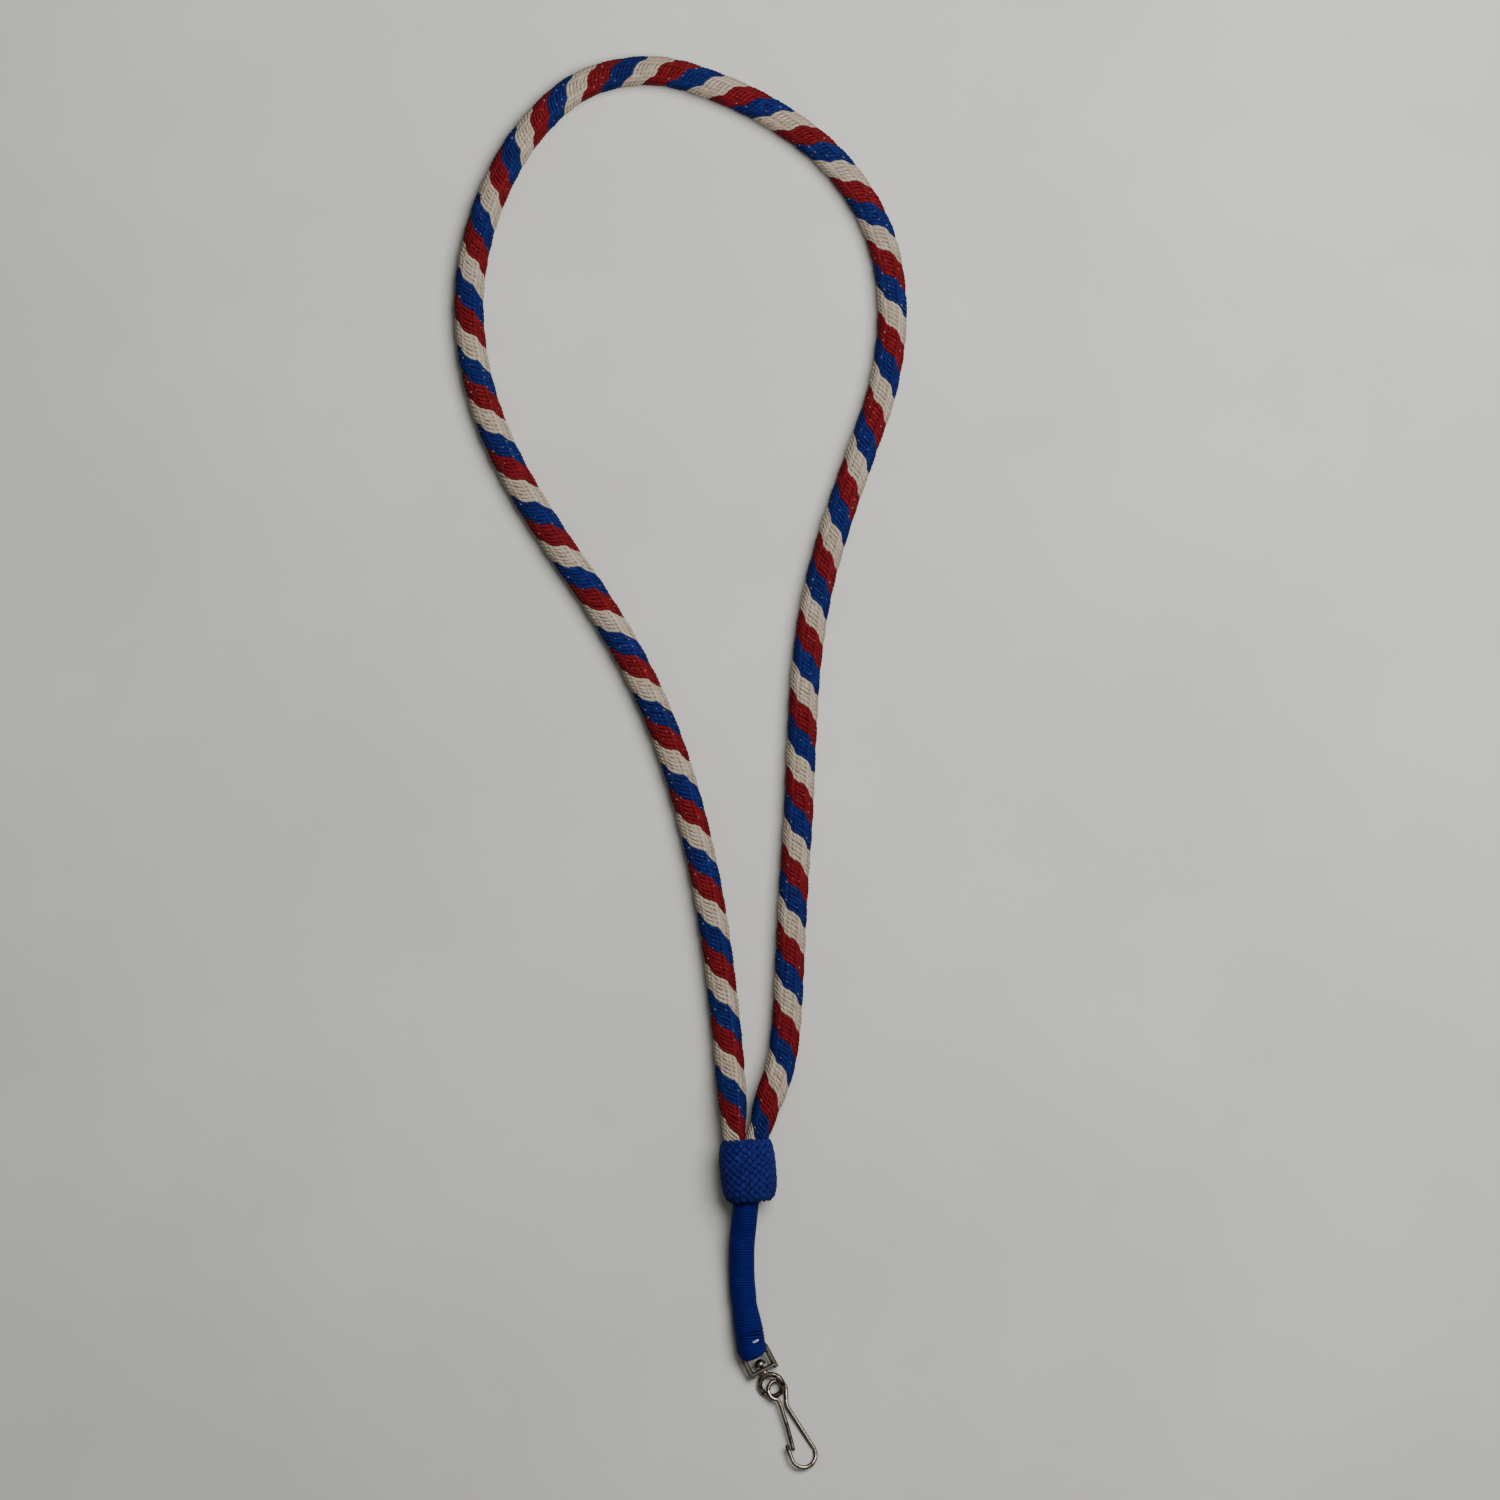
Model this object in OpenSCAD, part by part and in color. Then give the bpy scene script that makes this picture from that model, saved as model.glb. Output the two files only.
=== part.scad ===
// Plaited neck lanyard with a woven knot, a whipped stem and a wire swivel hook.
// It lies on a flat surface at z = 0 with the neck loop towards +Y. Millimetres.

/* [Neck cord] */
// Diameter of the plaited neck cord
cord_d = 9.2; // [8.6:0.1:9.3]
// Diameter of the filler core inside the plait
core_d = 5.6; // [4:0.2:6]
// Diameter of each end of the neck cord where it enters the knot
cord_end_d = 7; // [6:0.2:7]

/* [Woven knot] */
// Largest diameter of the knot
knot_d = 18; // [17:0.5:18]
// Length of the knot along its axis
knot_len = 18.8; // [18.4:0.2:19.2]
// Diameter of the knot's mouth, on the neck cord's side
knot_mouth_d = 14; // [13.5:0.5:15]
// Diameter of the knot's foot, on the stem's side
knot_foot_d = 12.4; // [12:0.2:13]
// Thickness of the knot's woven wall
knot_wall = 2; // [1.5:0.1:2.1]
// Turn of the knot's axis from +Y
knot_turn = 5; // [0:1:6]

/* [Stem] */
// Diameter of the whipped stem
stem_d = 8.1; // [7.6:0.1:8.2]
// Diameter of the strands inside the whipping
strands_d = 5.2; // [4:0.2:5.4]
// Largest diameter of the whipping, near the bail
flare_d = 9.2; // [8.8:0.1:9.2]

/* [Bail] */
// Width of the bail over its two legs
bail_w = 9.8; // [9.4:0.2:10.4]
// Distance from the bail's top bar to the middle of its foot
bail_len = 7.1; // [6.8:0.1:7.4]
// Thickness of the bail's wire
bail_wire_d = 1.8; // [1.6:0.1:1.8]
// Turn of the bail and the swivel from -Y
bail_turn = 27.5; // [26:0.5:28.5]

/* [Swivel eye] */
// Outer diameter of the ring
eye_d = 8.8; // [8.6:0.1:8.9]
// Thickness of the ring
eye_wire_d = 1.6; // [1.4:0.1:1.6]
// Diameter of the rivet head inside the bail
rivet_d = 3.6; // [3:0.2:3.8]

/* [Hook] */
// Diameter of the hook's wire
wire_d = 1.3; // [1.1:0.1:1.3]
// Outer diameter of the hook's coil
coil_d = 7.2; // [7.1:0.1:7.3]
// Length of the hook from the middle of its coil to the outside of its bow
hook_len = 26.2; // [25.6:0.2:26.8]
// Turn of the hook from -Y
hook_turn = 21; // [20:0.5:22]

/* [Hidden] */

// Middle of the knot: it rests on the surface
knot_at = [-6.2, 41.9, knot_d / 2];
// Where each leg of the neck cord and the stem stand off the knot's axis
leg_offset = cord_end_d / 2 + 0.05;
stem_offset = -1.4;

// Route of the neck cord between the knot's mouth on the left and on the right
neck_route = [
    [-10.6, 57, 8.6], [-11, 63, 7.5], [-11.6, 70, 6.2], [-12.2, 78, 5.2], [-13.5, 91, 4.7],
    [-15.5, 108, 4.7], [-19, 130, 4.7], [-24.5, 154, 4.7], [-32, 177.5, 4.7], [-41.5, 198.5, 4.7],
    [-53, 218, 4.7], [-66, 237, 4.7], [-78, 256.5, 4.7], [-87, 276.5, 4.7], [-92, 298, 4.7],
    [-92, 320, 4.7], [-86, 342.5, 4.7], [-74.5, 363, 4.7], [-57.5, 378, 4.7], [-36, 382.5, 4.7],
    [-15, 377, 4.7], [5.5, 366.5, 4.7], [22.5, 352, 4.7], [34.5, 332, 4.7], [38.5, 309, 4.7],
    [36, 286, 4.7], [29, 264.5, 4.7], [21.5, 243, 4.7], [15.5, 221.5, 4.7], [12, 199, 4.7],
    [10.5, 176, 4.7], [9.5, 153, 4.7], [8, 130, 4.7], [6.8, 107, 4.7], [6, 91, 4.7],
    [4.6, 78, 5.2], [2.6, 70, 6.2], [0, 63, 7.5], [-1.7, 57, 8.6]];
// Distance over which each end of the neck cord narrows
cord_taper = 16;

// Middle of the bail's top bar, and the route of the stem down to it
bar_at = [-4.8, -14.1, 4.4];
stem_route = [
    [-7.4, 26, 8.1], [-8.1, 19, 6.5], [-8.2, 12, 5], [-7.9, 5, 4.4], [-7.2, -1, 4.3], [-6.3, -6.5, 4.6],
    [-5.7, -9.5, 4.8]];
// The whipping stops this far short of the bar's middle, and the strands go round the bar
whipping_gap = 1.3;
bar_clearance = 0.1;
loop_r = 2.5;
loop_w = 5;

// Middle of the ring and tilt of the swivel: the hook's side lies on the surface
eye_reach = 12.8;
eye_z = 2.1;
eye_roll = -15;
bail_pitch = asin((bar_at.z - eye_z) / eye_reach);

// Middle of the hook's coil, and the tilt with which the hook lies on the surface
coil_at = [2.75, -26.8, 1.6];
hook_roll = 16.5;
hook_pitch = -1;

bail_leg_x = (bail_w - bail_wire_d) / 2;
foot_t = 1;
foot_depth = 2.4;
// The square ends of the legs pass the middle of the foot
leg_end = 1.1;
post_r = 0.75;
post_clearance = 0.08;
coil_r = (coil_d - wire_d) / 2;
coil_rise = 0.8;
coil_start = -20;
coil_split = 31;
split_gap = 3.5;
coil_end = 255;
bow_r = 3.95;
bow_at = [0.55, bow_r + wire_d / 2 - hook_len];
bow_end = 14.5;
ring_step = 2;

function unit(v) = v / norm(v);

// One point of a Catmull-Rom curve between b and c
function between(a, b, c, d, t) =
    0.5 * (2 * b + (c - a) * t + (2 * a - 5 * b + 4 * c - d) * t * t + (3 * b - a - 3 * c + d) * t * t * t);

// A smooth curve through the points, with a number of steps between each two
function smooth(p, steps) = let (n = len(p) - 1) [
    for (i = [0:n - 1], k = [0:steps - 1])
        between(p[max(i - 1, 0)], p[i], p[i + 1], p[min(i + 2, n)], k / steps),
    p[n]];

// Points of an arc about c, in the XY plane, that climbs from z0 to z1
function arc(c, r, a0, a1, n, z0 = 0, z1 = 0) = [
    for (i = [0:n]) let (a = a0 + (a1 - a0) * i / n)
        [c.x + r * cos(a), c.y + r * sin(a), z0 + (z1 - z0) * i / n]];

// Heading at each point of a route; the first and the last may be given
function headings(p, first = undef, last = undef) = let (n = len(p) - 1) [
    for (i = [0:n])
        i == 0 && !is_undef(first) ? first :
        i == n && !is_undef(last) ? last :
        unit(p[min(i + 1, n)] - p[max(i - 1, 0)])];

// A ring of points round a route's point, square to its heading
function ring(c, h, r, sides) = let (side = unit(cross(h, [0, 0, 1])), up = cross(side, h)) [
    for (k = [0:sides - 1]) c + r * (cos(360 * k / sides) * side - sin(360 * k / sides) * up)];

// Distance along a route up to each point
function run_to(p, i) = i == 0 ? 0 : run_to(p, i - 1) + norm(p[i] - p[i - 1]);

// Triangles of the wall between successive rings, seen from outside
function wall(rings, sides, at = 0, inward = false) = [
    for (i = [0:rings - 2], k = [0:sides - 1])
        let (a = at + i * sides + k, b = at + i * sides + (k + 1) % sides, c = a + sides, d = b + sides)
            each inward ? [[a, b, c], [b, d, c]] : [[a, c, b], [b, c, d]]];

// A solid rod along a route
module rod(route, heads, radii, sides) {
    n = len(route);
    points = [for (i = [0:n - 1]) each ring(route[i], heads[i], radii[i], sides)];
    foot = [for (k = [0:sides - 1]) k];
    top = [for (k = [sides - 1:-1:0]) (n - 1) * sides + k];
    polyhedron(points, concat([foot], wall(n, sides), [top]), convexity = 10);
}

// A hollow rod along a route
module sleeve(route, heads, radii, bores, sides) {
    n = len(route);
    outer = [for (i = [0:n - 1]) each ring(route[i], heads[i], radii[i], sides)];
    inner = [for (i = [0:n - 1]) each ring(route[i], heads[i], bores[i], sides)];
    m = n * sides;
    foot = [for (k = [0:sides - 1]) let (j = (k + 1) % sides) each [[k, j, m + k], [j, m + j, m + k]]];
    top = [for (k = [0:sides - 1]) let (e = m - sides, j = e + (k + 1) % sides, i = e + k)
        each [[i, m + i, j], [j, m + i, m + j]]];
    polyhedron(concat(outer, inner), concat(wall(n, sides), wall(n, sides, m, true), foot, top), convexity = 10);
}

// Along the knot's axis, towards the neck, and across it
knot_axis = [-sin(knot_turn), cos(knot_turn), 0];
knot_side = [cos(knot_turn), sin(knot_turn), 0];

// The neck cord from mouth to mouth
neck_points = smooth(concat(
    [knot_at + knot_len / 2 * knot_axis - leg_offset * knot_side],
    neck_route,
    [knot_at + knot_len / 2 * knot_axis + leg_offset * knot_side]), ring_step);
neck_heads = headings(neck_points, knot_axis, -knot_axis);
neck_run = run_to(neck_points, len(neck_points) - 1);
neck_swell = [for (i = [0:len(neck_points) - 1])
    let (s = run_to(neck_points, i), t = min(1, min(s, neck_run - s) / cord_taper)) t * t * (3 - 2 * t)];

// The stem from the knot's foot to the bail
stem_points = smooth(concat(
    [knot_at - knot_len / 2 * knot_axis + stem_offset * knot_side],
    stem_route,
    [bar_at + whipping_gap * unit([-sin(bail_turn), cos(bail_turn), tan(bail_pitch)])]), 2);
stem_heads = headings(stem_points, -knot_axis, unit([sin(bail_turn), -cos(bail_turn), -tan(bail_pitch)]));
// The whipping widens over its last stretch and draws in at its end
function stem_swell(i) = let (t = i / (len(stem_points) - 1)) (flare_d - stem_d) / 2 * max(0, sin((t - 0.7) * 400));

// Radius of the knot at a height t from -1 at its foot to 1 at its mouth
function knot_radius(t) = let (end = (t > 0 ? knot_mouth_d : knot_foot_d) / 2)
    end + (knot_d / 2 - end) * sqrt(1 - pow(abs(t), 3));
module knot_barrel(inset) {
    outline = [for (i = [-12:12]) [knot_radius(i / 12) - inset, i / 12 * knot_len / 2]];
    translate(knot_at) rotate([0, 0, knot_turn]) rotate([-90, 0, 0])
        rotate_extrude($fn = 64)
            polygon(concat([[0, -knot_len / 2]], outline, [[0, knot_len / 2]]));
}

// Frames of the bail, the swivel and the hook: local -Y runs away from the neck
module at_bail() {
    translate(bar_at) rotate([0, 0, bail_turn]) rotate([bail_pitch, 0, 0]) children();
}
module at_hook() {
    translate(coil_at) rotate([0, 0, hook_turn]) rotate([hook_pitch, 0, 0]) rotate([0, hook_roll, 0]) children();
}

module neck_cord() {
    color("royalblue")
        sleeve(neck_points, neck_heads, [for (t = neck_swell) cord_end_d / 2 + t * (cord_d - cord_end_d) / 2],
            [for (t = neck_swell) core_d / 2 * (0.8 + 0.2 * t)], 8);
}

module neck_core() {
    color("ivory")
        rod(neck_points, neck_heads, [for (t = neck_swell) (core_d / 2 - 0.05) * (0.8 + 0.2 * t)], 8);
}

module leg_seizing() {
    color("tan") knot_barrel(knot_wall + 0.05);
}

module woven_knot() {
    color("mediumblue")
        difference() {
            knot_barrel(0);
            translate(knot_at) rotate([0, 0, knot_turn]) rotate([-90, 0, 0])
                rotate_extrude($fn = 64)
                    polygon(concat([[0, -knot_len / 2 - 1], [knot_foot_d / 2 - knot_wall, -knot_len / 2 - 1]],
                        [for (i = [-12:12]) [knot_radius(i / 12) - knot_wall, i / 12 * knot_len / 2]],
                        [[knot_mouth_d / 2 - knot_wall, knot_len / 2 + 1], [0, knot_len / 2 + 1]]));
        }
}

module stem_strands() {
    color("navy")
        difference() {
            union() {
                rod(stem_points, stem_heads, [for (i = stem_points) strands_d / 2], 12);
                at_bail() rotate([0, 90, 0]) cylinder(r = loop_r, h = loop_w, center = true, $fn = 48);
            }
            at_bail() rotate([0, 90, 0])
                cylinder(r = bail_wire_d / 2 + bar_clearance, h = loop_w + 2, center = true, $fn = 32);
        }
}

module stem_whipping() {
    color("blue")
        sleeve(stem_points, stem_heads, [for (i = [0:len(stem_points) - 1]) stem_d / 2 + stem_swell(i)],
            [for (i = stem_points) strands_d / 2 + 0.05], 12);
}

module tail_stitch() {
    color("white")
        translate([-4.05, -11.2, 8.9]) rotate([0, 0, 27]) rotate([0, 90, 0])
            cylinder(r = 0.45, h = 2.4, center = true, $fn = 24);
}

module bail() {
    color("silver")
        at_bail() {
            difference() {
                union() {
                    rotate([0, 90, 0]) cylinder(d = bail_wire_d, h = 2 * bail_leg_x, center = true, $fn = 32);
                    for (side = [-1, 1]) {
                        translate([side * bail_leg_x, 0, 0]) sphere(d = bail_wire_d, $fn = 32);
                        translate([side * bail_leg_x, 0, 0]) rotate([90, 0, 0])
                            cylinder(d = bail_wire_d, h = bail_len + leg_end, $fn = 32);
                    }
                    translate([-bail_w / 2, -bail_len - foot_t / 2, -foot_depth / 2])
                        cube([bail_w, foot_t, foot_depth]);
                }
                translate([0, -bail_len, 0]) rotate([90, 0, 0])
                    cylinder(r = post_r + post_clearance, h = 3, center = true, $fn = 32);
            }
        }
}

module swivel_eye() {
    color("silver")
        at_bail() {
            // Rivet head, domed towards the stem
            translate([0, -5.2, 0]) rotate([-90, 0, 0])
                rotate_extrude($fn = 48)
                    intersection() {
                        translate([0, -0.2]) circle(r = rivet_d / 2, $fn = 48);
                        square([rivet_d, rivet_d]);
                    }
            // Post through the foot, its collar, and the ring
            translate([0, -4.9, 0]) rotate([90, 0, 0]) cylinder(r = post_r, h = 3.6, $fn = 32);
            translate([0, -bail_len - foot_t / 2 - 0.15, 0]) rotate([90, 0, 0]) cylinder(r = 1.2, h = 0.9, $fn = 32);
            translate([0, -eye_reach, 0]) rotate([0, eye_roll, 0])
                rotate_extrude($fn = 64) translate([(eye_d - eye_wire_d) / 2, 0]) circle(d = eye_wire_d, $fn = 32);
        }
}

// Height of the wire at an angle round the coil
function coil_z(a) = coil_rise * (a - coil_start) / (coil_end - coil_start);

module hook_wire() {
    path = concat(
        smooth([[bow_at.x - bow_r, bow_at.y + 4.8, 0], [bow_at.x - bow_r, bow_at.y + 2.4, 0]], 1),
        arc(bow_at, bow_r, 180, 360 + bow_end, 16),
        smooth([[2.7, -12.6, 0], [1.55, -7.2, 0], [1.35, -5.2, 0], [1.95, -3.2, 0]], 3),
        arc([0, 0], coil_r, coil_start, coil_split, 7, 0, coil_z(coil_split)));
    color("gray") at_hook() rod(path, headings(path), [for (p = path) wire_d / 2], 12);
}

module gate_arm() {
    first = coil_split + split_gap;
    path = concat(
        arc([0, 0], coil_r, first, 248, 16, coil_z(first), coil_z(248)),
        smooth([[-0.82, -4, 0.78], [-0.85, -5.6, 0.74], [-1.25, -12.5, 0.37], [-1.95, -19.5, 0]], 2));
    color("gray") at_hook() rod(path, headings(path), [for (p = path) wire_d / 2], 12);
}

neck_cord();
neck_core();
leg_seizing();
woven_knot();
stem_strands();
stem_whipping();
tail_stitch();
bail();
swivel_eye();
hook_wire();
gate_arm();
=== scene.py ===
"""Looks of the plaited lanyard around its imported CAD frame. Lengths are in millimetres until a mesh is made."""

import math

import bpy
import numpy as np
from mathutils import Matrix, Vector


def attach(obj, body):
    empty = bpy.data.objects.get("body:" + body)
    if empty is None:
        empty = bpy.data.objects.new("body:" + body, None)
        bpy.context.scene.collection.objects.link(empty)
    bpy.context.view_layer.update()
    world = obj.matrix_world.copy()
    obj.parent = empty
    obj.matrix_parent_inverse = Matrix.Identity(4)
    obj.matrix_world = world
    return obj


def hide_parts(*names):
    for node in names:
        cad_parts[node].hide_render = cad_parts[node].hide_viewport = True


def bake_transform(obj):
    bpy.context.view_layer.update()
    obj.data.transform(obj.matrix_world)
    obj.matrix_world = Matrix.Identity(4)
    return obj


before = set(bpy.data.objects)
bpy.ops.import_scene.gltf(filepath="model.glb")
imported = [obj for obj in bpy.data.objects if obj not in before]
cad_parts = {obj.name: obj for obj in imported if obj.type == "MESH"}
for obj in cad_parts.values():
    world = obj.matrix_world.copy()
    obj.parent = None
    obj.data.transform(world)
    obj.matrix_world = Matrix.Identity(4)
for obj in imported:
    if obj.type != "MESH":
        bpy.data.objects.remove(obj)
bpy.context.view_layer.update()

rng = np.random.default_rng(7)
MM = 0.001
X, Y, Z = np.eye(3)


# ---------------------------------------------------------------- geometry helpers

def unit(v):
    v = np.asarray(v, float)
    return v / np.linalg.norm(v, axis=-1, keepdims=True)


def smooth_line(points, steps):
    """A Catmull-Rom curve through the points, with a number of steps between each two."""
    p = np.asarray(points, float)
    n = len(p) - 1
    t = (np.arange(steps) / steps)[:, None]
    made = []
    for i in range(n):
        a, b, c, d = p[max(i - 1, 0)], p[i], p[i + 1], p[min(i + 2, n)]
        made.append(0.5 * (2 * b + (c - a) * t + (2 * a - 5 * b + 4 * c - d) * t**2
                           + (3 * b - a - 3 * c + d) * t**3))
    return np.vstack(made + [p[-1:]])


class Route:
    """A line with a frame at each distance along it: heading, side and up."""

    def __init__(self, points, up=Z):
        self.points = np.asarray(points, float)
        steps = np.linalg.norm(np.diff(self.points, axis=0), axis=1)
        self.run = np.concatenate([[0], np.cumsum(steps)])
        self.length = self.run[-1]
        self.heads = unit(np.gradient(self.points, self.run, axis=0))
        self.up = up

    def at(self, s):
        """Centre, heading, side and up at distances s; beyond the ends it goes straight on."""
        s = np.asarray(s, float)
        inside = np.clip(s, 0, self.length)
        centre = np.stack([np.interp(inside, self.run, self.points[:, k]) for k in range(3)], -1)
        head = unit(np.stack([np.interp(inside, self.run, self.heads[:, k]) for k in range(3)], -1))
        centre = centre + head * (s - inside)[..., None]
        side = unit(np.cross(head, self.up))
        return centre, head, side, np.cross(side, head)

    def around(self, s, angle, radius):
        """The point at a distance, an angle round the line and a radius from it."""
        centre, _, side, up = self.at(s)
        return centre + radius[..., None] * (np.cos(angle)[..., None] * side + np.sin(angle)[..., None] * up)


def turned(axis, degrees):
    """A 3x3 turn about X, Y or Z."""
    c, s = math.cos(math.radians(degrees)), math.sin(math.radians(degrees))
    i, j = {"x": (1, 2), "y": (2, 0), "z": (0, 1)}[axis]
    m = np.eye(3)
    m[i, i] = m[j, j] = c
    m[i, j], m[j, i] = -s, s
    return m


class Build:
    """Collects swept strands, then makes one mesh. The corner attribute "lay" holds turns round a strand,
    millimetres along it and the strand's own tone from 0 to 1."""

    def __init__(self):
        self.points, self.faces, self.lay = [], [], []
        self.count = 0

    def sweep(self, centres, across, out, half_w, half_t, sides=8, closed=False, tone=None, power=2.0):
        """centres, across and out are (strands, rings, 3), or (rings, 3) for one strand. half_w and half_t are
        half the width along across and half the thickness along out. A power above 2 squares the section."""
        centres = np.asarray(centres, float)
        if centres.ndim == 2:
            centres, across, out = centres[None], np.asarray(across)[None], np.asarray(out)[None]
        n, rings, _ = centres.shape
        half_w = np.broadcast_to(np.asarray(half_w, float), (n, rings))
        half_t = np.broadcast_to(np.asarray(half_t, float), (n, rings))
        a = np.arange(sides) / sides * 2 * math.pi
        ca, sa = np.cos(a), np.sin(a)
        ca, sa = (np.sign(v) * np.abs(v) ** (2 / power) for v in (ca, sa))
        points = (centres[:, :, None]
                  + (half_w[:, :, None] * ca)[..., None] * across[:, :, None]
                  + (half_t[:, :, None] * sa)[..., None] * out[:, :, None])
        steps = np.linalg.norm(np.diff(centres, axis=1), axis=2)
        run = np.concatenate([np.zeros((n, 1)), np.cumsum(steps, axis=1)], 1)
        tone = rng.random(n) if tone is None else np.broadcast_to(tone, (n,))
        last = rings if closed else rings - 1
        s, i, k = np.meshgrid(np.arange(n), np.arange(last), np.arange(sides), indexing="ij")
        i2, k2 = (i + 1) % rings, (k + 1) % sides
        corner = lambda r, q: self.count + (s * rings + r) * sides + q
        quads = np.stack([corner(i, k), corner(i, k2), corner(i2, k2), corner(i2, k)], -1)
        self.faces.append(quads.reshape(-1, 4))
        end = np.where(i2 == 0, run[s, -1], run[s, i2])
        lay = [(k, run[s, i]), (k + 1, run[s, i]), (k + 1, end), (k, end)]
        self.lay.append(np.stack([np.stack([u / sides, v, tone[s]], -1) for u, v in lay], -2).reshape(-1, 4, 3))
        if not closed:
            ring = np.arange(sides)
            base = self.count + np.arange(n)[:, None] * rings * sides
            for start, order in ((0, ring[::-1]), ((rings - 1) * sides, ring)):
                self.faces.append(base + start + order)
                flat = np.zeros((n, sides, 3))
                flat[..., 0], flat[..., 2] = order / sides, tone[:, None]
                flat[..., 1] = 0 if start == 0 else run[:, -1:]
                self.lay.append(flat)
        self.points.append(points.reshape(-1, 3))
        self.count += n * rings * sides

    def lathe(self, centre, axis, side, profile, sides=32, tone=None):
        """A solid turned about an axis: profile is rows of distance along the axis and radius."""
        axis, side = unit(axis), unit(side)
        profile = np.asarray(profile, float)
        centres = np.asarray(centre) + profile[:, :1] * axis
        across, out = (np.broadcast_to(v, centres.shape) for v in (side, np.cross(axis, side)))
        self.sweep(centres, across, out, profile[:, 1], profile[:, 1], sides, tone=tone)

    def make(self, name, material, body=None, slot=None, replaces=()):
        """Makes the mesh in metres as a piece that rides on a body and stands for some CAD nodes."""
        mesh = bpy.data.meshes.new(name)
        sizes = np.concatenate([np.full(len(f), f.shape[1]) for f in self.faces])
        loops = np.concatenate([f.ravel() for f in self.faces])
        mesh.vertices.add(self.count)
        mesh.vertices.foreach_set("co", (np.vstack(self.points) * MM).astype(np.float32).ravel())
        mesh.loops.add(len(loops))
        mesh.loops.foreach_set("vertex_index", loops.astype(np.int32))
        mesh.polygons.add(len(sizes))
        starts = np.concatenate([[0], np.cumsum(sizes)[:-1]])
        mesh.polygons.foreach_set("loop_start", starts.astype(np.int32))
        mesh.polygons.foreach_set("use_smooth", np.ones(len(sizes), bool))
        mesh.update(calc_edges=True)
        lay = mesh.attributes.new("lay", "FLOAT_VECTOR", "CORNER")
        rows = np.concatenate([v.reshape(-1, 3) for v in self.lay])
        lay.data.foreach_set("vector", rows.astype(np.float32).ravel())
        mesh.validate()
        mesh.materials.append(material)
        piece = bpy.data.objects.new(name, mesh)
        bpy.context.scene.collection.objects.link(piece)
        if body:
            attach(piece, body)
        if replaces:
            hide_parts(*replaces)
        return piece


# ---------------------------------------------------------------- materials

def linear(*rgb):
    """An sRGB colour of 0 to 255 as linear light."""
    c = np.array(rgb) / 255
    return tuple(np.where(c <= 0.04045, c / 12.92, ((c + 0.055) / 1.055) ** 2.4)) + (1.0,)


class Nodes:
    """Short calls for building a material."""

    def __init__(self, name, **shader):
        self.material = bpy.data.materials.new(name)
        self.material.use_nodes = True
        self.tree = self.material.node_tree
        self.shader = self.tree.nodes["Principled BSDF"]
        for key, value in shader.items():
            self.shader.inputs[key.replace("_", " ")].default_value = value

    def add(self, kind, **settings):
        node = self.tree.nodes.new(kind)
        for key, value in settings.items():
            setattr(node, key, value)
        return node

    def put(self, value, socket):
        if isinstance(value, bpy.types.NodeSocket):
            self.tree.links.new(value, socket)
        else:
            socket.default_value = value

    def math(self, operation, a, b=0.0):
        node = self.add("ShaderNodeMath", operation=operation)
        self.put(a, node.inputs[0])
        self.put(b, node.inputs[1])
        return node.outputs[0]

    def mix(self, factor, a, b):
        node = self.add("ShaderNodeMix", data_type="RGBA")
        self.put(factor, node.inputs[0])
        self.put(a, node.inputs[6])
        self.put(b, node.inputs[7])
        return node.outputs[2]

    def range(self, value, low, high, to_low=0.0, to_high=1.0):
        node = self.add("ShaderNodeMapRange")
        for socket, v in zip(node.inputs, (value, low, high, to_low, to_high)):
            self.put(v, socket)
        return node.outputs[0]

    def noise(self, scale, detail=2.0, rough=0.5, vector=None):
        node = self.add("ShaderNodeTexNoise")
        for key, value in (("Scale", scale), ("Detail", detail), ("Roughness", rough)):
            node.inputs[key].default_value = value
        if vector is not None:
            self.put(vector, node.inputs["Vector"])
        return node.outputs["Fac"]

    def place(self):
        return self.add("ShaderNodeTexCoord").outputs["Object"]

    def lay(self):
        """Turns round a strand, millimetres along it, and the strand's tone."""
        node = self.add("ShaderNodeAttribute", attribute_name="lay")
        split = self.add("ShaderNodeSeparateXYZ")
        self.put(node.outputs["Vector"], split.inputs[0])
        return split.outputs

    def vector(self, x, y, z):
        node = self.add("ShaderNodeCombineXYZ")
        for value, socket in zip((x, y, z), node.inputs):
            self.put(value, socket)
        return node.outputs[0]

    def scaled(self, vector, scale):
        node = self.add("ShaderNodeVectorMath", operation="MULTIPLY")
        self.put(vector, node.inputs[0])
        node.inputs[1].default_value = scale
        return node.outputs[0]

    def bump(self, height, strength, distance):
        node = self.add("ShaderNodeBump")
        self.put(height, node.inputs["Height"])
        node.inputs["Strength"].default_value = strength
        node.inputs["Distance"].default_value = distance
        return node.outputs[0]

    def flank(self, turn):
        """1 on the two flanks of a strand, 0 on its top and its underside."""
        return self.math("ABSOLUTE", self.math("COSINE", self.math("MULTIPLY", turn, 2 * math.pi)))

    def wire(self, **sockets):
        for key, value in sockets.items():
            self.put(value, self.shader.inputs[key.replace("_", " ")])
        return self.material


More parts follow.
